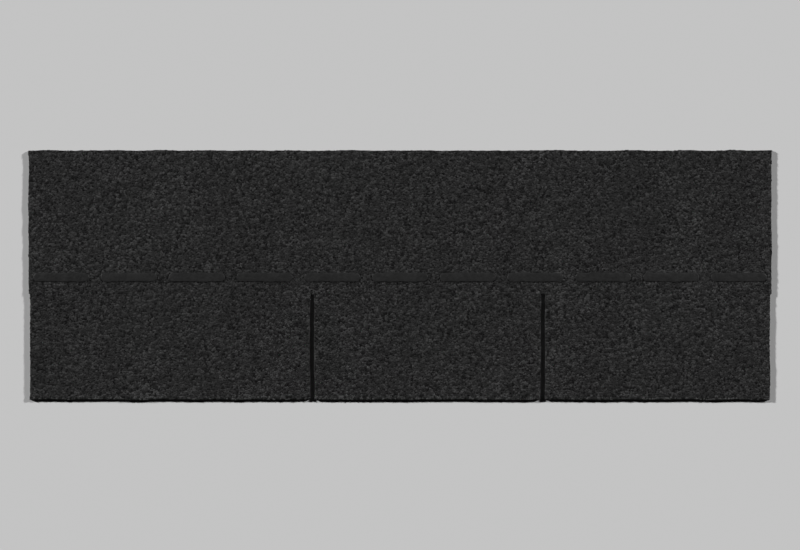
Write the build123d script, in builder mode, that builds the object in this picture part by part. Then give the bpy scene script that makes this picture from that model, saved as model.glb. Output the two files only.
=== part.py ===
from build123d import *
import os

# One strip of three-tab asphalt shingle, lying flat with its granules up.
#
# The strip is one sheet, cut from a roll by a die. Its upper part is plain, and the next two courses cover
# it. Below that are three tabs, parted by narrow slots as deep as the exposure, which is the height of a
# course that stays in view on a roof. Half a slot is cut from each end, so two strips laid end to end show
# one whole slot between them. The left tab is the widest, and the other two are nearly alike. A row of
# adhesive dashes crosses the upper face just above the slots. A plastic film, pressed flush into the back,
# keeps the adhesive of the next strip in a bundle from sticking there.
#
# Units are millimetres. X runs along the strip, Y from the butt edge of the tabs to the top edge, and Z up.
# The origin is the middle of the back, on the surface that the strip lies on.

# Tabs, each measured between the middles of the slots beside it
LEFT_TAB_PITCH = 382.0
MIDDLE_TAB_PITCH = 310.0
RIGHT_TAB_PITCH = 308.0
EXPOSURE = 143.0
HEADLAP = 51.0  # the top of the strip, which two courses above it cover
THICKNESS = 3.0

# Slots
SLOT_WIDTH = 6.0
SLOT_CORNER_RADIUS = 2.0  # left by the die at the head of each slot

# Adhesive dashes on the upper face
NAIL_BAND = 16.0  # bare band for the nails, between the heads of the slots and the adhesive
ADHESIVE_WIDTH = 13.0
ADHESIVE_CROWN = 0.8  # height along the middle of a dash
ADHESIVE_EDGE = 0.25  # height of its steep sides
DASH_LENGTH = 75.0
DASH_GAP = 16.0
DASH_END_MARGIN = 7.5  # bare length before the first dash, at the left end

# Release film on the back
FILM_WIDTH = 38.0
FILM_THICKNESS = 0.05

length = LEFT_TAB_PITCH + MIDDLE_TAB_PITCH + RIGHT_TAB_PITCH
height = 2 * EXPOSURE + HEADLAP
left_end = -length / 2
right_end = length / 2
butt_edge = -height / 2
slot_head = butt_edge + EXPOSURE
left_slot_x = left_end + LEFT_TAB_PITCH
right_slot_x = right_end - RIGHT_TAB_PITCH
slot_corner_radius = min(SLOT_CORNER_RADIUS, 0.45 * SLOT_WIDTH)  # two rounds have to fit in a slot

# The row of dashes starts at the left end, with as many whole dashes as the strip has room for
adhesive_y = slot_head + NAIL_BAND + ADHESIVE_WIDTH / 2
dash_pitch = DASH_LENGTH + DASH_GAP
dash_count = int((length - DASH_END_MARGIN + DASH_GAP) // dash_pitch)
first_dash_x = left_end + DASH_END_MARGIN + DASH_LENGTH / 2

# Every other strip in a bundle is turned end for end, and that puts its adhesive under this line
film_y = -adhesive_y

# Plan of the strip: a rectangle less the two slots and the half slot at each end
with BuildSketch() as strip_plan:
    Rectangle(length, height)
    with Locations(*[(x, butt_edge) for x in (left_end, left_slot_x, right_slot_x, right_end)]):
        Rectangle(SLOT_WIDTH, EXPOSURE, align=(Align.CENTER, Align.MIN), mode=Mode.SUBTRACT)
    slot_head_corners = strip_plan.vertices().filter_by(lambda corner: abs(corner.Y - slot_head) < 0.001)
    fillet(slot_head_corners.sort_by(Axis.X)[1:-1], radius=slot_corner_radius)

# Plan of the release film: a band across the back, cut together with the strip
with BuildSketch() as film_plan:
    with Locations((0, film_y)):
        Rectangle(length, FILM_WIDTH)
    add(strip_plan.sketch, mode=Mode.INTERSECT)

# Shingle strip: mat, asphalt and granules, pressed into one sheet, with the shallow seat of the film
with BuildPart() as shingle_strip:
    add(strip_plan.sketch)
    extrude(amount=THICKNESS)
    add(film_plan.sketch)
    extrude(amount=FILM_THICKNESS, mode=Mode.SUBTRACT)

# Release film, which fills its seat and lies flush with the back
with BuildPart() as release_film:
    add(film_plan.sketch)
    extrude(amount=FILM_THICKNESS)

# One adhesive dash: half of a crowned bead, drawn along X and closed by half a dome, and then mirrored
half_width = ADHESIVE_WIDTH / 2
dome_x = DASH_LENGTH / 2 - half_width
with BuildPart() as adhesive_dash:
    with BuildSketch(Plane.YZ):
        with BuildLine():
            sides = Polyline(
                (-half_width, ADHESIVE_EDGE), (-half_width, 0), (half_width, 0), (half_width, ADHESIVE_EDGE)
            )
            ThreePointArc(sides @ 1, (0, ADHESIVE_CROWN), sides @ 0)
        make_face()
    extrude(amount=dome_x)
    with BuildSketch(Plane.YZ.offset(dome_x)):
        with BuildLine():
            sides = Polyline((0, ADHESIVE_CROWN), (0, 0), (-half_width, 0), (-half_width, ADHESIVE_EDGE))
            TangentArc(sides @ 0, sides @ 1, tangent=(-1, 0))
        make_face()
    revolve(axis=Axis((dome_x, 0, 0), (0, 0, 1)), revolution_arc=180)
    mirror(about=Plane.YZ)

# Adhesive strip: the row of dashes, seated on the upper face
with BuildPart(Plane((first_dash_x, adhesive_y, THICKNESS))) as adhesive_strip:
    with GridLocations(dash_pitch, 1, dash_count, 1, align=(Align.MIN, Align.CENTER)):
        add(adhesive_dash.part)

shingle_strip.part.label = "shingle_strip"
release_film.part.label = "release_film"
adhesive_strip.part.label = "adhesive_strip"

os.makedirs("parts", exist_ok=True)
export_step(shingle_strip.part, "parts/shingle_strip.step")
export_step(release_film.part, "parts/release_film.step")
export_step(adhesive_strip.part, "parts/adhesive_strip.step")

dash_volume = adhesive_dash.part.volume
print(f"strip {length:.1f} x {height:.1f} mm, {dash_count} adhesive dashes of {dash_volume:.1f} mm3")
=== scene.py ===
# %% [markdown]
# # A three-tab asphalt shingle strip
#
# The object is one strip of the roofing that is laid in overlapping courses. The CAD model holds its plan,
# its thickness, the adhesive dashes and the release film. What it leaves to this lesson is the surface: tens
# of thousands of crushed stone granules, pressed into black asphalt. They could be painted on, but then the
# strip would look smooth from the side and along its cut edges, so they are made as geometry here.
# Everything is in metres, in the CAD model's own frame: X along the strip, Y towards its top edge, Z up.

# %% Load the CAD model
import math

import bmesh
import bpy
import numpy as np
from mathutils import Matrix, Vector


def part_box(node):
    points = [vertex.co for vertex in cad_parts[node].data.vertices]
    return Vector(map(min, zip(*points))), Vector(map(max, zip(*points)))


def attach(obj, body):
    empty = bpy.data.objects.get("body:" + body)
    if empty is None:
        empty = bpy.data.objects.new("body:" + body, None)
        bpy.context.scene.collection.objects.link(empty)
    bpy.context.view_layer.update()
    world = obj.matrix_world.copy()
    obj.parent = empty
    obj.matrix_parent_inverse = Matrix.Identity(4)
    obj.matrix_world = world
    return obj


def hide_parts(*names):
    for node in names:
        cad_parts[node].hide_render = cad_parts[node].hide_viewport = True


MM = 0.001

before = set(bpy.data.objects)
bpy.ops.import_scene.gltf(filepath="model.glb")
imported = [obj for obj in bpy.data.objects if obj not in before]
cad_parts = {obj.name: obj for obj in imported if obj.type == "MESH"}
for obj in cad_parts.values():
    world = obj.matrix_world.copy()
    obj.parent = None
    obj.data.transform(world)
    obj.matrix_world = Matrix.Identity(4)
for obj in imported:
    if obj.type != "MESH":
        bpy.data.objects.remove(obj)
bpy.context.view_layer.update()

# %% [markdown]
# ## The plan of the strip
#
# Every new surface has to end where the CAD strip ends. Its plan is read off its own corners: those on the
# butt edge are the two corners of each tab, and the lowest corner on the left end is the head of the half
# slot there. Typing the same sizes again would be shorter, but then the two models could drift apart.

# %% Read the plan
NEAR = 0.01 * MM

strip_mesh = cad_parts["shingle_strip"].data
corners = np.empty(3 * len(strip_mesh.vertices))
strip_mesh.vertices.foreach_get("co", corners)
corners = corners.reshape(-1, 3)

left_end, butt_edge, _ = corners.min(axis=0)
right_end, top_edge, strip_top = corners.max(axis=0)
on_butt_edge = np.sort(corners[corners[:, 1] < butt_edge + NEAR, 0])
tab_corners = on_butt_edge[np.insert(np.diff(on_butt_edge) > NEAR, 0, True)]
tabs = tab_corners.reshape(-1, 2)
slot_head = corners[corners[:, 0] < left_end + NEAR, 1].min()
slots = list(zip(tabs[:-1, 1], tabs[1:, 0]))
print("tabs in mm:", np.round(tabs / MM, 2).tolist(), "slot head:", round(slot_head / MM, 2))

# %% [markdown]
# ## The camera
#
# The picture looks straight down on the roofing, with the butt edges of the tabs towards its lower edge. A
# long lens from three metres up keeps the sides of the slots from leaning apart, as they do not in the
# picture either. The height follows from how much of the picture's width the strip should fill.

# %% Place the camera
LENS_MM = 100
SENSOR_MM = 36
STRIP_SHARE_OF_WIDTH = 0.93

strip_length = right_end - left_end
camera_height = strip_length / STRIP_SHARE_OF_WIDTH * LENS_MM / SENSOR_MM

camera_data = bpy.data.cameras.new("camera")
camera_data.lens = LENS_MM
camera_data.sensor_width = SENSOR_MM
camera = bpy.data.objects.new("camera", camera_data)
camera.location = (0, (butt_edge + top_edge) / 2, camera_height)
bpy.context.scene.collection.objects.link(camera)
bpy.context.scene.camera = camera
print("camera height in m:", round(camera_height, 3))

# %% [markdown]
# ## The lamps
#
# In the picture the slots and the lines under the butt edges are the darkest things: both are the shadow of
# an edge 3 mm thick. The grain, though, shows no light side and no dark side. One low lamp would shade the
# slots but streak the grain, and a high one would do the reverse. So there are two low sun lamps, one from
# the left and one from the right, both turned a little towards the top edge. Each side of a slot shades the
# slot's whole width, and on the granules the two lamps nearly even each other out. A sun lamp lights the
# strip evenly, where a lamp close by would fall off along it. The lamps and the sky add up to one on a level
# surface, so that a colour renders about as it is written.

# %% Set the suns
SUN_ELEVATION = math.radians(15)
SUN_AZIMUTHS = (math.radians(155), math.radians(25))
SUN_SHARES = (0.55, 0.45)
SUN_SPREAD = math.radians(4)
SKY_LEVEL = 0.003

for side, azimuth, share in zip(("left", "right"), SUN_AZIMUTHS, SUN_SHARES):
    level = math.cos(SUN_ELEVATION)
    toward_sun = Vector((level * math.cos(azimuth), level * math.sin(azimuth), math.sin(SUN_ELEVATION)))
    sun_data = bpy.data.lights.new(f"{side}_sun", "SUN")
    sun_data.energy = share * (1 - SKY_LEVEL) * math.pi / math.sin(SUN_ELEVATION)
    sun_data.angle = SUN_SPREAD
    sun = bpy.data.objects.new(f"{side}_sun", sun_data)
    sun.rotation_euler = toward_sun.to_track_quat("Z", "Y").to_euler()
    bpy.context.scene.collection.objects.link(sun)
    print(side, "sun strength:", round(sun_data.energy, 2))
bpy.context.scene.view_settings.view_transform = "Standard"

# %% [markdown]
# ## The sky
#
# The sky has two jobs. As a light it is very dim, because it reaches the floor in a slot, where the suns
# don't, and in the picture the slots are nearly black. As a backdrop it should look like the pale floor,
# also where a glossy surface mirrors it. The Light Path node tells the two apart: it says which kind of ray
# has reached the sky.

# %% Set the sky
BACKDROP_SHADE = 0.55

world = bpy.data.worlds.new("sky")
world.use_nodes = True
sky_tree = world.node_tree
sky_light = sky_tree.nodes["Background"]
sky_light.inputs["Color"].default_value = (1, 1, 1, 1)
sky_light.inputs["Strength"].default_value = SKY_LEVEL
backdrop = sky_tree.nodes.new("ShaderNodeBackground")
backdrop.inputs["Color"].default_value = (1, 1, 1, 1)
backdrop.inputs["Strength"].default_value = BACKDROP_SHADE

rays = sky_tree.nodes.new("ShaderNodeLightPath")
camera_or_glossy = sky_tree.nodes.new("ShaderNodeMath")
camera_or_glossy.operation = "MAXIMUM"
sky_tree.links.new(rays.outputs["Is Camera Ray"], camera_or_glossy.inputs[0])
sky_tree.links.new(rays.outputs["Is Glossy Ray"], camera_or_glossy.inputs[1])
shows_backdrop = sky_tree.nodes.new("ShaderNodeMath")
shows_backdrop.operation = "MAXIMUM"
sky_tree.links.new(camera_or_glossy.outputs[0], shows_backdrop.inputs[0])
sky_tree.links.new(rays.outputs["Is Transmission Ray"], shows_backdrop.inputs[1])
sky_choice = sky_tree.nodes.new("ShaderNodeMixShader")
sky_tree.links.new(shows_backdrop.outputs[0], sky_choice.inputs["Fac"])
sky_tree.links.new(sky_light.outputs[0], sky_choice.inputs[1])
sky_tree.links.new(backdrop.outputs[0], sky_choice.inputs[2])
sky_tree.links.new(sky_choice.outputs[0], sky_tree.nodes["World Output"].inputs["Surface"])
bpy.context.scene.world = world
print("sky as a light:", SKY_LEVEL, "as a backdrop:", BACKDROP_SHADE)

# %% [markdown]
# ## Making meshes from arrays
#
# A strip has far too many granules to add one by one, so every surface is worked out as whole numpy arrays
# and put into a mesh at once. Each piece also brings its own flat map, for its materials to be baked onto:
# the piece seen from above, which suits a flat object better than an automatic unwrap.

# %% Mesh and map helpers
BAKE_MAP = "OFBake"


def new_piece(name, points, faces):
    """Mesh object from points (n x 3, metres) and faces (m x corners), riding on the part's only body."""
    mesh = bpy.data.meshes.new(name)
    mesh.vertices.add(len(points))
    mesh.vertices.foreach_set("co", np.asarray(points, dtype=np.float32).ravel())
    mesh.loops.add(faces.size)
    mesh.loops.foreach_set("vertex_index", np.asarray(faces, dtype=np.int32).ravel())
    mesh.polygons.add(len(faces))
    mesh.polygons.foreach_set("loop_start", np.arange(0, faces.size, faces.shape[1], dtype=np.int32))
    mesh.update(calc_edges=True)
    mesh.validate()
    piece = bpy.data.objects.new(name, mesh)
    bpy.context.scene.collection.objects.link(piece)
    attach(piece, "root")
    print(name, "triangles:", len(faces) * (faces.shape[1] - 2))
    return piece


def add_bake_map(piece, corner_places):
    """Gives each face corner its place (0 to 1, 0 to 1) on the map that the materials are baked to."""
    layer = piece.data.uv_layers.new(name=BAKE_MAP)
    layer.data.foreach_set("uv", np.asarray(corner_places, dtype=np.float32).ravel())


def seen_from_above(points, low, high):
    """Plan view, with the rectangle from low to high stretched over the whole map."""
    return (points[..., :2] - low) / (np.asarray(high) - low)


# %% [markdown]
# ## Swells
#
# Hot felt never comes off the rollers quite flat, and a die never cuts quite straight. Such slow swells are
# the sum of a few plane waves, each with its own length, direction and start. The same sum makes one patch
# of granules a shade paler than the next. A noise library would do as well, but a sum of waves is easy to
# follow and gives the same numbers each run.

# %% Swell function
def swell(x, y, shortest, longest, seed, waves=16):
    """Sum of plane waves cos(k . p + phase), wavelengths spread evenly in ratio from shortest to longest.

    Each wave has a random direction and phase. The sum is divided by the root of half their number, so its
    spread about zero is one.
    """
    rng = np.random.default_rng(seed)
    lengths = np.geomspace(shortest, longest, waves)
    headings = rng.uniform(0, 2 * np.pi, waves)
    phases = rng.uniform(0, 2 * np.pi, waves)
    total = np.zeros(np.broadcast(x, y).shape)
    for length, heading, phase in zip(lengths, headings, phases):
        total += np.cos(2 * np.pi * (x * np.cos(heading) + y * np.sin(heading)) / length + phase)
    return total / np.sqrt(waves / 2)


# %% Level of the asphalt
ASPHALT_LEVEL = strip_top - 0.5 * MM
ASPHALT_SWELL = 0.05 * MM


def asphalt_height(x, y):
    """Level of the asphalt that the granules sit in: a plane with slow swells, 12 to 120 mm long."""
    return ASPHALT_LEVEL + ASPHALT_SWELL * swell(x, y, 12 * MM, 120 * MM, seed=1)


print("asphalt level in mm:", round(ASPHALT_LEVEL / MM, 2))

# %% [markdown]
# ## The cut lines
#
# The die leaves three kinds of unevenness. The whole cut wanders by a few tenths of a millimetre, each
# granule on it breaks a little inside or outside the blade's line, and the asphalt underneath crumbles back.
# The outer cut lines lie inside the CAD edges by the most that the first two add up to, so nothing passes
# those edges. The half slots at the two ends count as gaps like the whole ones, and reach past the strip.

# %% Cut lines and their wander
CUT_SCATTER = 0.35 * MM
WANDER = 0.35 * MM
WANDER_CAP = 1.6

edge_inset = CUT_SCATTER + WANDER_CAP * WANDER
cut_left, cut_right = left_end + edge_inset, right_end - edge_inset
cut_butt, cut_top = butt_edge + edge_inset, top_edge - edge_inset
PAST_THE_END = 10 * MM
gaps = [(left_end - PAST_THE_END, tabs[0, 0]), *slots, (tabs[-1, 1], right_end + PAST_THE_END)]


def wandered(points):
    """The points, each moved in X and in Y by a capped swell, 14 to 160 mm long."""
    moved = np.array(points)
    for axis, seed in ((0, 11), (1, 12)):
        wave = swell(points[..., 0], points[..., 1], 14 * MM, 160 * MM, seed)
        moved[..., axis] += WANDER * np.clip(wave, -WANDER_CAP, WANDER_CAP)
    return moved


def distance_to_cut(x, y):
    """Distance in plan to the nearest outer edge, or to the nearest side or head of a slot."""
    distance = np.minimum.reduce([x - cut_left, cut_right - x, y - cut_butt, cut_top - y])
    for gap_left, gap_right in gaps:
        beside = np.maximum(np.maximum(gap_left - x, x - gap_right), 0)
        above = np.maximum(y - slot_head, 0)
        distance = np.minimum(distance, np.hypot(beside, above))
    return np.maximum(distance, 0)


print("cut lines lie inside the CAD edges by mm:", round(edge_inset / MM, 2))

# %% [markdown]
# ## The body of the strip
#
# Under the granules is a sheet of asphalt on a glass mat. Its upper and lower surfaces are one grid each,
# with lines through every edge of the plan, and the cells in the slots are left out. Wherever a kept cell
# has no neighbour, a wall joins the two surfaces. A Boolean cut would give the same plan, but it leaves long
# thin faces that can't be frayed.

# %% Grid over the plan
GRID_PITCH = 3.5 * MM


def lines_through(edges, pitch):
    """Positions through every edge, evenly spaced between two edges at about the pitch."""
    spans = [
        np.linspace(start, end, max(1, round((end - start) / pitch)), endpoint=False)
        for start, end in zip(edges[:-1], edges[1:])
    ]
    return np.concatenate(spans + [edges[-1:]])


x_lines = lines_through(np.array([left_end, *tabs.ravel(), right_end]), GRID_PITCH)
y_lines = lines_through(np.array([butt_edge, slot_head, top_edge]), GRID_PITCH)
x_middles = (x_lines[:-1] + x_lines[1:]) / 2
y_middles = (y_lines[:-1] + y_lines[1:]) / 2
in_a_tab = ((x_middles > tabs[:, :1]) & (x_middles < tabs[:, 1:])).any(axis=0)
kept = (y_middles > slot_head)[:, None] | in_a_tab[None, :]
print("grid cells:", kept.shape, "kept:", int(kept.sum()))


# %% Walls round the kept cells
def wall_edges(kept, ids):
    """Grid edges with a kept cell on one side only, as (from, to) that run anticlockwise round the plan."""
    padded = np.pad(kept, 1)
    inside = padded[1:-1, 1:-1]
    south = inside & ~padded[:-2, 1:-1]
    north = inside & ~padded[2:, 1:-1]
    west = inside & ~padded[1:-1, :-2]
    east = inside & ~padded[1:-1, 2:]
    return np.concatenate(
        [
            np.stack([ids[:-1, :-1][south], ids[:-1, 1:][south]], 1),
            np.stack([ids[:-1, 1:][east], ids[1:, 1:][east]], 1),
            np.stack([ids[1:, 1:][north], ids[1:, :-1][north]], 1),
            np.stack([ids[1:, :-1][west], ids[:-1, :-1][west]], 1),
        ]
    )


grid_ids = np.arange(len(y_lines) * len(x_lines)).reshape(len(y_lines), len(x_lines))
cells = np.stack([grid_ids[:-1, :-1], grid_ids[:-1, 1:], grid_ids[1:, 1:], grid_ids[1:, :-1]], -1)[kept]
rim_edges = wall_edges(kept, grid_ids)
rim_ids = np.unique(rim_edges)
grid_x, grid_y = (plane.ravel() for plane in np.meshgrid(x_lines, y_lines))
grid_xy = np.stack([grid_x, grid_y], 1)

along = grid_xy[rim_edges[:, 1]] - grid_xy[rim_edges[:, 0]]
edge_outward = np.stack([along[:, 1], -along[:, 0]], 1)
edge_outward /= np.linalg.norm(edge_outward, axis=1)[:, None]
outward = np.zeros_like(grid_xy)
np.add.at(outward, rim_edges[:, 0], edge_outward)
np.add.at(outward, rim_edges[:, 1], edge_outward)
outward = np.sign(np.round(outward, 3))
print("wall edges:", len(rim_edges))

# %% [markdown]
# ## Crumbling the cut
#
# Each level of the wall is moved in or out by its own swell: the asphalt, which crumbles back behind its
# granules, and the glass mat, whose fibres the blade drags out. The corners at the slot heads are moved into
# the slot, by as much as a round of 2 mm fills in there: its middle lies 1 - 1/sqrt(2) of its radius from
# both sides of the square corner.

# %% Where each level of the body lies in plan
SLOT_ROUND = 2 * MM
CRUMBLE = 0.35 * MM
BACK_CRUMBLE = 0.6 * CRUMBLE
FRAY = 0.16 * MM
FRAY_CAP = 1.5

at_slot_corner = (np.abs(grid_y - slot_head) < NEAR) & (
    np.abs(grid_x[:, None] - tabs.ravel()).min(axis=1) < NEAR
)
rounding = np.where(at_slot_corner, SLOT_ROUND * (1 - math.sqrt(0.5)), 0)
on_end = (grid_x < left_end + NEAR) | (grid_x > right_end - NEAR)
on_long_edge = (grid_y < butt_edge + NEAR) | (grid_y > top_edge - NEAR)
inset = edge_inset * np.stack([on_end, on_long_edge], 1)


def crumbled(ids, setback, seed):
    """Plan places of these grid points, moved back from the cut lines by the setback and a capped swell."""
    wave = np.clip(swell(grid_x[ids], grid_y[ids], 7 * MM, 40 * MM, seed), -FRAY_CAP, FRAY_CAP)
    push = rounding[ids] - setback + FRAY * wave
    return grid_xy[ids] + outward[ids] * (push[:, None] - inset[ids])


print("corners at slot heads:", int(at_slot_corner.sum()))


# %% Levels of the body
MAT_LEVELS = (1.05 * MM, 1.35 * MM)
MAT_SETBACK = 0.2 * MM
BACK_RELIEF = 0.04 * MM
film_low, film_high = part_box("release_film")
film_seat = film_high[2] + 2 * BACK_RELIEF


def height_off_floor(x, y, longest, seed):
    """The back's relief times one plus the hyperbolic tangent of half a swell, so above zero everywhere."""
    return BACK_RELIEF * (1 + np.tanh(swell(x, y, 8 * MM, longest, seed) / 2))


all_ids = np.arange(grid_ids.size)
upper = np.column_stack([crumbled(all_ids, CRUMBLE, 2), asphalt_height(grid_x, grid_y)])
over_film = (grid_y > film_low[1] - GRID_PITCH) & (grid_y < film_high[1] + GRID_PITCH)
back_level = np.where(over_film, film_seat, height_off_floor(grid_x, grid_y, 60 * MM, 3))
lower = np.column_stack([crumbled(all_ids, BACK_CRUMBLE, 4), back_level])
mat_rows = [
    np.column_stack([crumbled(rim_ids, MAT_SETBACK, 5 + row), np.full(len(rim_ids), level)])
    for row, level in enumerate(MAT_LEVELS)
]
print("points on each level of the cut edge:", len(rim_ids))

# %% Join the levels
rim_place = np.zeros(grid_ids.size, dtype=int)
rim_place[rim_ids] = np.arange(len(rim_ids))
rings = [
    rim_edges + grid_ids.size,
    rim_place[rim_edges] + 2 * grid_ids.size,
    rim_place[rim_edges] + 2 * grid_ids.size + len(rim_ids),
    rim_edges,
]
walls = np.concatenate(
    [np.concatenate([below, above[:, ::-1]], axis=1) for below, above in zip(rings[:-1], rings[1:])]
)
body_points = wandered(np.concatenate([upper, lower, *mat_rows]))
body_faces = np.concatenate([cells, cells[:, ::-1] + grid_ids.size, walls])
used = np.unique(body_faces)
renumber = np.zeros(len(body_points), dtype=int)
renumber[used] = np.arange(len(used))
body = new_piece("shingle_body", body_points[used], renumber[body_faces])
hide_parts("shingle_strip")

# %% [markdown]
# ## The body's map
#
# On the map, the upper surface and the back lie one above the other, and the walls are laid end to end in
# rows above them, drawn taller than they are so that the thin line of the mat gets enough pixels.

# %% Body map
MAP_MARGIN = 0.01
WALL_ROWS = 5
WALL_ROW_HEIGHT = 0.045

upper_count = len(cells)
map_low = np.array([left_end, butt_edge])
map_high = map_low + strip_length
plan_height = (top_edge - butt_edge) / strip_length
upper_places = seen_from_above(body_points[cells], map_low, map_high)
lower_places = seen_from_above(body_points[cells[:, ::-1] + grid_ids.size], map_low, map_high)
lower_places = lower_places + [0, plan_height + MAP_MARGIN]

wall_index = np.arange(len(rim_edges))
per_row = math.ceil(len(rim_edges) / WALL_ROWS)
row_start = 2 * (plan_height + MAP_MARGIN) + (wall_index // per_row) * (WALL_ROW_HEIGHT + MAP_MARGIN)
wall_x = (wall_index % per_row) / per_row
level_heights = np.array([0, *MAT_LEVELS, ASPHALT_LEVEL]) / ASPHALT_LEVEL * WALL_ROW_HEIGHT
wall_places = []
for bottom, top in zip(level_heights[:-1], level_heights[1:]):
    x_corners = np.stack([wall_x, wall_x + 1 / per_row, wall_x + 1 / per_row, wall_x], 1)
    y_corners = row_start[:, None] + np.array([bottom, bottom, top, top])
    wall_places.append(np.stack([x_corners, y_corners], -1))
add_bake_map(body, np.concatenate([upper_places, lower_places, *wall_places]))
print("map reaches:", round(float(wall_places[-1][..., 1].max()), 3))

# %% [markdown]
# ## Granules
#
# Roofing granules are crushed stone, fired with a dark coating. Most are a millimetre or two across. These
# lie two and a half apart and are about three across, because the picture's grain is a coarse one. Crushed
# stone is all flat facets, so each granule is a chip: four corners sunk in the asphalt, and above them four
# more that make a tilted top with a fold across it, twelve triangles in all. Icospheres would need nearly
# seven times as many and look like beads. One granule is dropped near the middle of each cell of a fine
# grid, so that they crowd evenly without lying in rows.

# %% Granule shape
HALF_LENGTH = 1.6 * MM
HALF_WIDTH = 1.3 * MM
SIZE_SPREAD = 0.22
SIZE_CAP = 2
CORNER_SHIFT = 0.34
TOP_SHARE = 0.55
CHIP_HEIGHTS = (0.13 * MM, 0.25 * MM)
TILT = 0.2
SUNK_DEPTH = 0.06 * MM
TOP_SETBACK = 0.05 * MM

GROUND_CORNERS = np.array([[-1, -1], [1, -1], [1, 1], [-1, 1]])
CHIP_CORNERS = np.concatenate([GROUND_CORNERS, TOP_SHARE * GROUND_CORNERS])
UNDERSIDE = [[0, 3, 2], [0, 2, 1]]
SIDES = [[0, 1, 5], [0, 5, 4], [1, 2, 6], [1, 6, 5], [2, 3, 7], [2, 7, 6], [3, 0, 4], [3, 4, 7]]
TOP = [[4, 5, 6], [4, 6, 7]]
CHIP_FACES = np.array(UNDERSIDE + SIDES + TOP)
print("triangles in a chip:", len(CHIP_FACES))


# %% Points of the granules
def cut_to_plan(x, y, centres, cut):
    """Brings points that lie past a cut line back onto it.

    Every granule has its own cut line, a distance cut inside the plan's. In a slot, a point goes back to the
    side that its granule's centre is on, or up to the slot's head if the centre is above that.
    """
    from_above = centres[:, 1:] > slot_head
    for gap_left, gap_right in gaps:
        in_gap = (x > gap_left - cut) & (x < gap_right + cut) & (y < slot_head + cut)
        side = np.where(centres[:, :1] < (gap_left + gap_right) / 2, gap_left - cut, gap_right + cut)
        y = np.where(in_gap & from_above, slot_head + cut, y)
        x = np.where(in_gap & ~from_above, side, x)
    return np.clip(x, cut_left + cut, cut_right - cut), np.clip(y, cut_butt + cut, cut_top - cut)


def granule_points(centres, rng):
    """Eight points of a chip at each centre, as an array n x 8 x 3.

    In its own axes a corner is its place in the table times half the length and width, shifted by up to a
    third of them. The size is e to the power of a capped bell-shaped draw. The chip is turned by any angle,
    cut to the plan, and set on the asphalt with its four ground corners sunk in it. The top corners have the
    chip's height times one, give or take up to the tilt.
    """
    count, ground = len(centres), len(GROUND_CORNERS)
    size = np.exp(SIZE_SPREAD * np.clip(rng.standard_normal((count, 1)), -SIZE_CAP, SIZE_CAP))
    shifted = CHIP_CORNERS + rng.uniform(-CORNER_SHIFT, CORNER_SHIFT, (count, *CHIP_CORNERS.shape))
    along_chip = shifted[..., 0] * HALF_LENGTH * size
    across_chip = shifted[..., 1] * HALF_WIDTH * size
    turn = rng.uniform(0, 2 * np.pi, (count, 1))
    x = centres[:, :1] + along_chip * np.cos(turn) - across_chip * np.sin(turn)
    y = centres[:, 1:] + along_chip * np.sin(turn) + across_chip * np.cos(turn)
    cut = np.repeat(rng.uniform(-CUT_SCATTER, CUT_SCATTER, (count, 1)), len(CHIP_CORNERS), axis=1)
    cut[:, ground:] += TOP_SETBACK
    x, y = cut_to_plan(x, y, centres, cut)
    tilted = rng.uniform(1 - TILT, 1 + TILT, (count, len(CHIP_CORNERS) - ground))
    height = rng.uniform(*CHIP_HEIGHTS, (count, 1)) * tilted
    lift = np.concatenate([np.full((count, ground), -SUNK_DEPTH), height], axis=1)
    return np.stack([x, y, asphalt_height(centres[:, :1], centres[:, 1:]) + lift], -1)


# %% [markdown]
# ## Where granules lie
#
# A granule that fell in a slot is gone, and about one in ten elsewhere is missing too, most of them side by
# side. The black asphalt that shows there gives the picture's surface its dark pits.

# %% Granule places
GRANULE_SPACING = 2.5 * MM
GRANULE_JITTER = 0.45
EDGE_MARGIN = 0.25 * MM
BALD_LEVEL = 1.3


def granule_centres(low, high, rng):
    """One place in each cell of a square grid over a rectangle, off its middle by up to the jitter.

    Places over a slot are left out, and so are those where a swell 4 to 12 mm long passes the bald level.
    """
    counts = np.maximum(1, np.round((np.array(high) - low) / GRANULE_SPACING)).astype(int)
    steps = (np.array(high) - low) / counts
    column, row = np.meshgrid(np.arange(counts[0]), np.arange(counts[1]))
    index = np.stack([column.ravel(), row.ravel()], 1)
    centres = low + (index + 0.5 + rng.uniform(-GRANULE_JITTER, GRANULE_JITTER, index.shape)) * steps
    x, y = centres.T
    covered = swell(x, y, 4 * MM, 12 * MM, seed=8, waves=40) < BALD_LEVEL
    for gap_left, gap_right in gaps:
        beside = (x > gap_left - EDGE_MARGIN) & (x < gap_right + EDGE_MARGIN)
        covered &= ~(beside & (y < slot_head + EDGE_MARGIN))
    return centres[covered]


# %% [markdown]
# ## The shade of each granule
#
# The picture is a neutral charcoal, with paler and darker grains in even numbers. Even to the eye, that is,
# which judges light by about its 2.2th root: so the bell curve is drawn on that scale and raised to the
# power 2.2. The picture's grain is coarser than one granule, so part of the draw is shared by granules that
# lie together. Some patches are also more speckled than others. The outermost few millimetres along each
# cut are a little paler: partly chafed granules that show bare stone, partly a painted highlight
# of the lit cut. Along the butt edge they are paler most, and there it is a painted highlight, because
# the lamps leave the granules on that edge in shade. The shade is stored on each granule's points, where
# its material reads it.

# %% Granule shades
MEAN_SHADE = 0.0126
SHADE_SPREAD = 0.355
CLUMP_SPREAD = 0.17
SPREAD_SWING = 0.3
EYE_POWER = 2.2
DARKEST_DRAW, PALEST_DRAW = 0.2, 1.42
PATCH_SPREAD = 0.09
# Paler near every cut: partly chafed stone, partly a painted highlight of the lit cut.
CHAFED_AND_HIGHLIGHT_LIFT = 0.16
# A painted highlight along the butt edge, whose granules the lamps leave in shade.
BUTT_PAINTED_HIGHLIGHT = 0.3
EDGE_PALING_REACH = 5 * MM
SHADE_NAME = "granule_shade"


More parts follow.
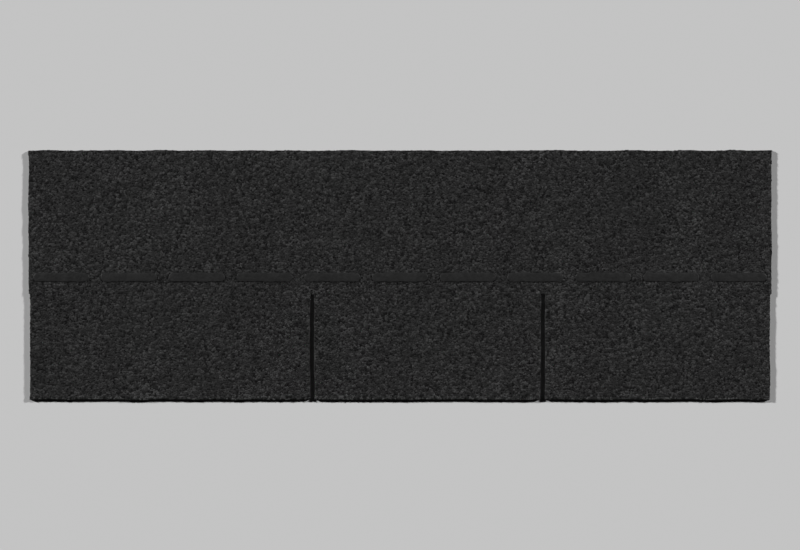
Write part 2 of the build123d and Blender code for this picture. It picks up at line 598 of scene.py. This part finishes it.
def granule_shades(centres, rng):
    """Shade of each granule, as the mean shade times four factors.

    They are a capped bell-shaped draw to the eye's power, with a swell added to it that makes clumps, a slow
    swell for paler patches, and two lifts that fall off from the cuts and from the butt edge. The lift at
    the cuts is partly chafed stone and partly a painted highlight. The lift at the butt edge is a painted
    highlight. A swell also makes the draw itself wider and narrower from place to place.
    """
    x, y = centres.T
    spread = SHADE_SPREAD * (1 + SPREAD_SWING * swell(x, y, 16 * MM, 60 * MM, seed=13))
    clump = CLUMP_SPREAD * swell(x, y, 6 * MM, 14 * MM, seed=10, waves=120)
    draw = 1 + spread * rng.standard_normal(len(centres)) + clump
    draw = np.clip(draw, DARKEST_DRAW, PALEST_DRAW)
    patch = 1 + PATCH_SPREAD * swell(x, y, 25 * MM, 300 * MM, seed=9)
    # Paler near every cut: partly chafed stone, partly a painted highlight.
    chafed_and_highlight = 1 + CHAFED_AND_HIGHLIGHT_LIFT * np.exp(-distance_to_cut(x, y) / EDGE_PALING_REACH)
    # Paler along the butt edge: a painted highlight where the lamps leave the granules in shade.
    butt_highlight = 1 + BUTT_PAINTED_HIGHLIGHT * np.exp(-np.maximum(y - cut_butt, 0) / EDGE_PALING_REACH)
    return MEAN_SHADE * draw**EYE_POWER * patch * chafed_and_highlight * butt_highlight


# %% One field of granules
def granule_field(name, low, high, seed):
    """All granules over one rectangle of the plan, as one piece, with the highest granules last.

    Where two granules overlap in the plan, the map then shows the higher one.
    """
    rng = np.random.default_rng(seed)
    centres = granule_centres(low, high, rng)
    points = granule_points(centres, rng)
    by_height = np.argsort(points[..., 2].max(axis=1))
    shades = granule_shades(centres, rng)[by_height]
    points = wandered(points[by_height]).reshape(-1, 3)
    corner_count = len(CHIP_CORNERS)
    faces = (CHIP_FACES + corner_count * np.arange(len(centres))[:, None, None]).reshape(-1, 3)
    piece = new_piece(name, points, faces)
    shade = piece.data.attributes.new(SHADE_NAME, "FLOAT", "POINT")
    shade.data.foreach_set("value", np.repeat(shades, corner_count).astype(np.float32))
    add_bake_map(piece, seen_from_above(points[faces], points.min(axis=0)[:2], points.max(axis=0)[:2]))
    return piece


# %% [markdown]
# ## Spreading the granules
#
# Four fields side by side cover the tabs, and four more the part above them. Each field has a map of its
# own, so smaller fields give each granule more pixels, and they keep well under the number of triangles that
# one piece may have.

# %% Eight fields of granules
FIELDS_ALONG = 4

borders = np.linspace(cut_left, cut_right, FIELDS_ALONG + 1)
granule_fields = []
for place, (low_x, high_x) in enumerate(zip(borders[:-1], borders[1:])):
    number = place + 1
    tab_field = granule_field(f"granules_tab_{number}", (low_x, cut_butt), (high_x, slot_head), 20 + place)
    head_field = granule_field(f"granules_head_{number}", (low_x, slot_head), (high_x, cut_top), 30 + place)
    granule_fields += [tab_field, head_field]
print("granules:", sum(len(piece.data.polygons) for piece in granule_fields) // len(CHIP_FACES))

# %% [markdown]
# ## The adhesive dashes
#
# The dashes are hot asphalt, printed by a wheel and left to slump over the granules. Each is a closed tube
# about its own long axis: stations along it, and points round each station. The outline narrows to a half
# circle at each end, swells make it and its crown uneven, and the granules under it show as low lumps.

# %% Dash surface
DASH_LENGTH = 75 * MM
DASH_GAP = 16 * MM
DASH_STATIONS = 120
DASH_ROUND = 32
DASH_ROOT = 0.5 * MM
DASH_SINK = 0.1 * MM
CROWN_SHARE = 0.84
WIDTH_SHARE = 0.93
RIPPLE = 0.045
SLUMP = 0.06
LUMPS = 0.1 * MM
SWELL_CAP = 1.5
SECTION_POWER = 0.6
END_POWER = 0.7

adhesive_low, adhesive_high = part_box("adhesive_strip")
dash_width = adhesive_high[1] - adhesive_low[1]
dash_crown = adhesive_high[2] - strip_top
dash_pitch = DASH_LENGTH + DASH_GAP
dash_count = round((adhesive_high[0] - adhesive_low[0] + DASH_GAP) / dash_pitch)
adhesive_y = (adhesive_high[1] + adhesive_low[1]) / 2
print("dash width and crown in mm:", round(dash_width / MM, 2), round(dash_crown / MM, 2))


# %% Points of a dash
def capped_swell(x, y, shortest, longest, seed, waves=16):
    """A swell held between minus and plus the swell cap."""
    return np.clip(swell(x, y, shortest, longest, seed, waves), -SWELL_CAP, SWELL_CAP)


def dash_points(middle_x, seed):
    """Points of one dash, as stations x round x 3.

    Station s lies at the half length times sin(s), s from -90 to 90 degrees, which crowds them at the ends.
    The half width there is that of a bar with half-circle ends, rippled along each side. Round a station,
    the angle t gives the side step cos(t). The height above the granules is the crown, and below them the
    root, times the size of sin(t) to the section power, which squares the section off.
    """
    station = np.sin(np.linspace(-np.pi / 2, np.pi / 2, DASH_STATIONS))[:, None] * DASH_LENGTH / 2
    angle = np.linspace(0, 2 * np.pi, DASH_ROUND, endpoint=False)[None, :]
    past_straight = np.maximum(np.abs(station) - (DASH_LENGTH - dash_width) / 2, 0) / (dash_width / 2)
    fullness = np.sqrt(np.maximum(1 - past_straight**2, 0))
    x = middle_x + station + 0 * angle
    side = np.cos(angle)
    ripple = WIDTH_SHARE + RIPPLE * capped_swell(x, side * 4 * MM, 4 * MM, 25 * MM, seed)
    y = adhesive_y + dash_width / 2 * fullness * side * ripple
    up = np.maximum(np.sin(angle), 0) ** SECTION_POWER
    down = np.maximum(-np.sin(angle), 0) ** SECTION_POWER
    slump = 1 + SLUMP * capped_swell(x, y, 8 * MM, 40 * MM, seed + 1)
    lumps = LUMPS * capped_swell(x, y, 2.5 * MM, 6 * MM, seed + 2, waves=30)
    crown = (CROWN_SHARE * dash_crown * slump + lumps) * fullness**END_POWER
    z = strip_top - DASH_SINK + crown * up - DASH_ROOT * fullness * down
    return np.stack([x, y, z], -1)


# %% Tube helpers
def tube_faces(stations, around):
    """Quads between neighbouring stations of a closed tube."""
    ids = np.arange(stations * around).reshape(stations, around)
    after = np.roll(ids, -1, axis=1)
    return np.stack([ids[:-1], ids[1:], after[1:], after[:-1]], -1).reshape(-1, 4)


def close_poles(piece):
    """Merges the points that coincide where a surface runs to a point, and turns all faces outwards."""
    mesh = bmesh.new()
    mesh.from_mesh(piece.data)
    bmesh.ops.remove_doubles(mesh, verts=mesh.verts, dist=0.001 * MM)
    bmesh.ops.recalc_face_normals(mesh, faces=mesh.faces)
    mesh.to_mesh(piece.data)
    mesh.free()


# %% Print the dashes
first_dash_x = adhesive_low[0] + DASH_LENGTH / 2
dashes = [dash_points(first_dash_x + number * dash_pitch, 40 + 3 * number) for number in range(dash_count)]
dash_faces = tube_faces(DASH_STATIONS, DASH_ROUND)
per_dash = DASH_STATIONS * DASH_ROUND
adhesive = new_piece(
    "adhesive_dashes",
    np.concatenate([dash.reshape(-1, 3) for dash in dashes]),
    np.concatenate([dash_faces + number * per_dash for number in range(dash_count)]),
)
close_poles(adhesive)
adhesive.data.shade_smooth()
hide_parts("adhesive_strip")
print("dashes:", dash_count)

# %% [markdown]
# ## The release film
#
# The film on the back is thinner than paper, and it was rolled on slightly loose. It is a thin plate of two
# grids and a rim, and slow swells across it lift it here and there by a hair.

# %% Film surface
FILM_COLUMNS = 320
FILM_ROWS = 16
FILM_EDGE_WANDER = 0.2 * MM

film_x = np.linspace(cut_left, cut_right, FILM_COLUMNS)
film_across = np.linspace(-1, 1, FILM_ROWS)
plate_x, plate_across = np.meshgrid(film_x, film_across)
film_middle = (film_low[1] + film_high[1]) / 2
film_half = (film_high[1] - film_low[1]) / 2 - SWELL_CAP * FILM_EDGE_WANDER
film_drift = FILM_EDGE_WANDER * capped_swell(plate_x, 0 * plate_x, 60 * MM, 400 * MM, 60)
plate_y = film_middle + film_half * plate_across + film_drift
film_lift = height_off_floor(plate_x, plate_y, 90 * MM, 61) / 2
film_thickness = film_high[2] - film_low[2]
film_under = np.stack([plate_x, plate_y, film_lift], -1).reshape(-1, 3)
film_over = film_under + [0, 0, film_thickness]
print("film lifts by up to mm:", round(float(film_lift.max()) / MM, 3))

# %% Film mesh
film_ids = np.arange(FILM_COLUMNS * FILM_ROWS).reshape(FILM_ROWS, FILM_COLUMNS)
film_kept = np.ones((FILM_ROWS - 1, FILM_COLUMNS - 1), dtype=bool)
film_cells = np.stack([film_ids[:-1, :-1], film_ids[:-1, 1:], film_ids[1:, 1:], film_ids[1:, :-1]], -1)
film_cells = film_cells.reshape(-1, 4)
film_rim = wall_edges(film_kept, film_ids)
film_walls = np.concatenate([film_rim, film_rim[:, ::-1] + film_ids.size], axis=1)
film_faces = np.concatenate([film_cells[:, ::-1], film_cells + film_ids.size, film_walls])
film = new_piece("release_film_tape", np.concatenate([film_under, film_over]), film_faces)
film.data.polygons.foreach_set("use_smooth", np.arange(len(film_faces)) < 2 * len(film_cells))
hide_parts("release_film")

# %% [markdown]
# ## Effects that several finishes share
#
# Crushed mineral shows at every scale here: as pits on a granule, as fines between granules, as sand on the
# back and as filler in the cut edge. It is built once, as a node group that takes the number of grains per
# metre and puts out a tone and a height. Slow mottling is the second such group. A material places the
# group with its own numbers. Both tones vary about one, so that a shade can be multiplied by them. The
# Voronoi texture's colour strays up to a half from its middle and the noise seldom more than a quarter, so
# the first is doubled and the second taken four times.

# %% Node helpers
def new_effect(name, inputs, outputs):
    """Empty shader node group with number sockets: inputs as {name: default}, outputs as names."""
    tree = bpy.data.node_groups.new(name, "ShaderNodeTree")
    for label, value in inputs.items():
        socket = tree.interface.new_socket(label, in_out="INPUT", socket_type="NodeSocketFloat")
        socket.default_value = value
    for label in outputs:
        tree.interface.new_socket(label, in_out="OUTPUT", socket_type="NodeSocketFloat")
    return tree


def add_math(tree, operation, *values):
    """Math node whose inputs are numbers or other nodes' outputs. Returns its output."""
    node = tree.nodes.new("ShaderNodeMath")
    node.operation = operation
    for socket, value in zip(node.inputs, values):
        if isinstance(value, (int, float)):
            socket.default_value = value
        else:
            tree.links.new(value, socket)
    return node.outputs[0]


def object_place(tree):
    """The place on the object, in metres from its origin."""
    return tree.nodes.new("ShaderNodeTexCoord").outputs["Object"]


# %% Crushed mineral group
mineral = new_effect("Crushed mineral", {"Grains per metre": 800, "Contrast": 0.5}, ["Tone", "Height"])
group_in = mineral.nodes.new("NodeGroupInput")
group_out = mineral.nodes.new("NodeGroupOutput")
grains = mineral.nodes.new("ShaderNodeTexVoronoi")
mineral.links.new(object_place(mineral), grains.inputs["Vector"])
mineral.links.new(group_in.outputs["Grains per metre"], grains.inputs["Scale"])
grain_shade = mineral.nodes.new("ShaderNodeSeparateColor")
mineral.links.new(grains.outputs["Color"], grain_shade.inputs["Color"])
centred = add_math(mineral, "SUBTRACT", grain_shade.outputs["Red"], 0.5)
swing = add_math(mineral, "MULTIPLY", centred, group_in.outputs["Contrast"])
mineral.links.new(add_math(mineral, "MULTIPLY_ADD", swing, 2, 1), group_out.inputs["Tone"])
mineral.links.new(add_math(mineral, "SUBTRACT", 1, grains.outputs["Distance"]), group_out.inputs["Height"])

# %% Slow mottling group
mottle = new_effect("Slow mottling", {"Patches per metre": 20, "Strength": 0.1}, ["Tone"])
group_in = mottle.nodes.new("NodeGroupInput")
group_out = mottle.nodes.new("NodeGroupOutput")
cloud = mottle.nodes.new("ShaderNodeTexNoise")
cloud.inputs["Detail"].default_value = 4
mottle.links.new(object_place(mottle), cloud.inputs["Vector"])
mottle.links.new(group_in.outputs["Patches per metre"], cloud.inputs["Scale"])
centred = add_math(mottle, "SUBTRACT", cloud.outputs["Fac"], 0.5)
swing = add_math(mottle, "MULTIPLY", centred, group_in.outputs["Strength"])
mottle.links.new(add_math(mottle, "MULTIPLY_ADD", swing, 4, 1), group_out.inputs["Tone"])
print("effects:", [group.name for group in bpy.data.node_groups])


# %% Placing an effect in a material
def new_finish(name, roughness, specular):
    """Material with a Principled shader, its roughness and specular level set on the shader itself."""
    material = bpy.data.materials.new(name)
    material.use_nodes = True
    shader = material.node_tree.nodes["Principled BSDF"]
    shader.inputs["Roughness"].default_value = roughness
    shader.inputs["Specular IOR Level"].default_value = specular
    print("finish:", name)
    return material, material.node_tree, shader


def place_effect(tree, effect, **values):
    """The effect's node in this material, with its inputs set. An underscore stands for a space."""
    node = tree.nodes.new("ShaderNodeGroup")
    node.node_tree = effect
    for label, value in values.items():
        node.inputs[label.replace("_", " ")].default_value = value
    return node


def add_relief(tree, shader, height, depth):
    """Bump of this depth in metres, from a height between 0 and 1."""
    bump = tree.nodes.new("ShaderNodeBump")
    bump.inputs["Distance"].default_value = depth
    tree.links.new(height, bump.inputs["Height"])
    tree.links.new(bump.outputs["Normal"], shader.inputs["Normal"])


# %% [markdown]
# ## Finish of the granules and of the asphalt between them
#
# A granule's coating is matt, with pits far smaller than the granule. The asphalt between is nearly black
# and full of fines. Both are neutral grey, like the picture, so a single number serves as the colour.

# %% Granule coat
granule_coat, tree, shader = new_finish("granule coat", roughness=0.9, specular=0.12)
shade = tree.nodes.new("ShaderNodeAttribute")
shade.attribute_name = SHADE_NAME
pits = place_effect(tree, mineral, Grains_per_metre=2600, Contrast=0.2)
toned = add_math(tree, "MULTIPLY", shade.outputs["Fac"], pits.outputs["Tone"])
tree.links.new(toned, shader.inputs["Base Color"])
add_relief(tree, shader, pits.outputs["Height"], depth=0.06 * MM)
for piece in granule_fields:
    piece.data.materials.append(granule_coat)

# %% Asphalt bed
BED_SHADE = 0.004
asphalt_bed, tree, shader = new_finish("asphalt bed", roughness=0.8, specular=0.2)
fines = place_effect(tree, mineral, Grains_per_metre=1100, Contrast=0.6)
tree.links.new(add_math(tree, "MULTIPLY", fines.outputs["Tone"], BED_SHADE), shader.inputs["Base Color"])
add_relief(tree, shader, fines.outputs["Height"], depth=0.3 * MM)

# %% [markdown]
# ## Finish of the cut edge
#
# On the cut edge the glass mat shows as a thin paler line in black asphalt, at the level that the mesh has
# for it. The material finds the line by its height, which needs no map of its own. The line keeps its full
# shade over the core, the middle part of the mat's thickness, and fades out from there to its two faces.

# %% Cut edge
EDGE_SHADE = 0.006
MAT_SHADE = 0.03
MAT_CORE = 0.4
cut_edge, tree, shader = new_finish("cut edge", roughness=0.85, specular=0.2)
filler = place_effect(tree, mineral, Grains_per_metre=1500, Contrast=0.6)
place = tree.nodes.new("ShaderNodeSeparateXYZ")
tree.links.new(object_place(tree), place.inputs["Vector"])
mat_middle = sum(MAT_LEVELS) / 2
off_mat = add_math(tree, "ABSOLUTE", add_math(tree, "SUBTRACT", place.outputs["Z"], mat_middle))
mat_line = tree.nodes.new("ShaderNodeMapRange")
mat_line.inputs["From Min"].default_value = MAT_LEVELS[1] - mat_middle
mat_line.inputs["From Max"].default_value = MAT_CORE * (MAT_LEVELS[1] - mat_middle)
mat_line.inputs["To Min"].default_value = EDGE_SHADE
mat_line.inputs["To Max"].default_value = MAT_SHADE
tree.links.new(off_mat, mat_line.inputs["Value"])
edge_tone = add_math(tree, "MULTIPLY", mat_line.outputs["Result"], filler.outputs["Tone"])
tree.links.new(edge_tone, shader.inputs["Base Color"])
add_relief(tree, shader, filler.outputs["Height"], depth=0.2 * MM)

# %% [markdown]
# ## Finish of the back
#
# The back is dusted with fine sand, so that the shingles of a bundle don't stick. It is the palest surface
# of the strip. The body's faces were made in the order upper surface, back, walls, and get their three
# finishes in that order.

# %% Sanded back
BACK_SHADE = 0.06
sanded_back, tree, shader = new_finish("sanded back", roughness=0.92, specular=0.15)
sand = place_effect(tree, mineral, Grains_per_metre=1800, Contrast=0.45)
blotches = place_effect(tree, mottle, Patches_per_metre=9, Strength=0.35)
back_tone = add_math(tree, "MULTIPLY", sand.outputs["Tone"], blotches.outputs["Tone"])
tree.links.new(add_math(tree, "MULTIPLY", back_tone, BACK_SHADE), shader.inputs["Base Color"])
add_relief(tree, shader, sand.outputs["Height"], depth=0.15 * MM)

# %% Finishes of the body
for finish in (asphalt_bed, sanded_back, cut_edge):
    body.data.materials.append(finish)
finish_index = np.repeat([0, 1, 2], [upper_count, upper_count, len(walls)]).astype(np.int32)
body.data.polygons.foreach_set("material_index", finish_index)
body.data.update()
print("faces with each finish:", np.bincount(finish_index).tolist())

# %% [markdown]
# ## Finish of the adhesive and of the film
#
# The adhesive is black asphalt with a skin that has dulled unevenly. The film is clear polyester on black
# asphalt, which reads as a smooth dark band with fine wrinkles along it.

# %% Adhesive
ADHESIVE_SHADE = 0.007
ADHESIVE_ROUGHNESS = 0.45
seal_asphalt, tree, shader = new_finish("seal asphalt", ADHESIVE_ROUGHNESS, specular=0.2)
skin = place_effect(tree, mottle, Patches_per_metre=160, Strength=0.25)
tree.links.new(add_math(tree, "MULTIPLY", skin.outputs["Tone"], ADHESIVE_SHADE), shader.inputs["Base Color"])
dulled = add_math(tree, "MULTIPLY", skin.outputs["Tone"], ADHESIVE_ROUGHNESS)
tree.links.new(dulled, shader.inputs["Roughness"])
add_relief(tree, shader, skin.outputs["Tone"], depth=0.25 * MM)
adhesive.data.materials.append(seal_asphalt)

# %% Film
FILM_SHADE = 0.028
WRINKLES_PER_METRE = (14, 160, 160)
tape, tree, shader = new_finish("release tape", roughness=0.22, specular=0.5)
wrinkles = tree.nodes.new("ShaderNodeTexNoise")
wrinkles.inputs["Scale"].default_value = 1
stretch = tree.nodes.new("ShaderNodeMapping")
stretch.inputs["Scale"].default_value = WRINKLES_PER_METRE
tree.links.new(object_place(tree), stretch.inputs["Vector"])
tree.links.new(stretch.outputs["Vector"], wrinkles.inputs["Vector"])
haze = place_effect(tree, mottle, Patches_per_metre=30, Strength=0.2)
tree.links.new(add_math(tree, "MULTIPLY", haze.outputs["Tone"], FILM_SHADE), shader.inputs["Base Color"])
add_relief(tree, shader, wrinkles.outputs["Fac"], depth=0.4 * MM)
film.data.materials.append(tape)

# %% [markdown]
# ## Maps of the adhesive and of the film
#
# Both are flat pieces too, but each has an under side as large as its upper side. So the map holds the plan
# twice: faces that look up have the lower half, and faces that look down the upper half.

# %% Two-sided maps
LOWER_HALF_TOP = 0.49
UPPER_HALF_BOTTOM = 0.51


def add_two_sided_map(piece):
    """Plan view over the map's lower half for faces that look up, and over its upper half for the rest."""
    mesh = piece.data
    points = np.empty(3 * len(mesh.vertices))
    mesh.vertices.foreach_get("co", points)
    points = points.reshape(-1, 3)
    corner_points = np.empty(len(mesh.loops), dtype=np.int32)
    mesh.loops.foreach_get("vertex_index", corner_points)
    corner_counts = np.empty(len(mesh.polygons), dtype=np.int32)
    mesh.polygons.foreach_get("loop_total", corner_counts)
    normals = np.empty(3 * len(mesh.polygons))
    mesh.polygons.foreach_get("normal", normals)
    looks_down = np.repeat(normals.reshape(-1, 3)[:, 2] < 0, corner_counts)
    places = seen_from_above(points, points.min(axis=0)[:2], points.max(axis=0)[:2])[corner_points]
    add_bake_map(piece, places * [1, LOWER_HALF_TOP] + looks_down[:, None] * [0, UPPER_HALF_BOTTOM])
    print(piece.name, "corners that look down:", int(looks_down.sum()), "of", len(looks_down))


for piece in (adhesive, film):
    add_two_sided_map(piece)

# %% [markdown]
# ## The floor
#
# The strip lies on a plain pale floor, far larger than the view, so that the low views from the side see no
# edge of it. It has the shade of the backdrop, so the two run into each other. It is fully matt, because it
# shows through the slots, and a gloss would mirror the backdrop there.

# %% Floor
FLOOR_HALF_SIDE = 8.0

floor_points = np.array([[-1, -1, 0], [1, -1, 0], [1, 1, 0], [-1, 1, 0]]) * FLOOR_HALF_SIDE
floor_mesh = bpy.data.meshes.new("floor")
floor_mesh.from_pydata(floor_points.tolist(), [], [[0, 1, 2, 3]])
floor = bpy.data.objects.new("floor", floor_mesh)
bpy.context.scene.collection.objects.link(floor)
pale_floor, _, shader = new_finish("pale floor", roughness=1, specular=0)
shader.inputs["Base Color"].default_value = (BACKDROP_SHADE, BACKDROP_SHADE, BACKDROP_SHADE, 1)
floor_mesh.materials.append(pale_floor)
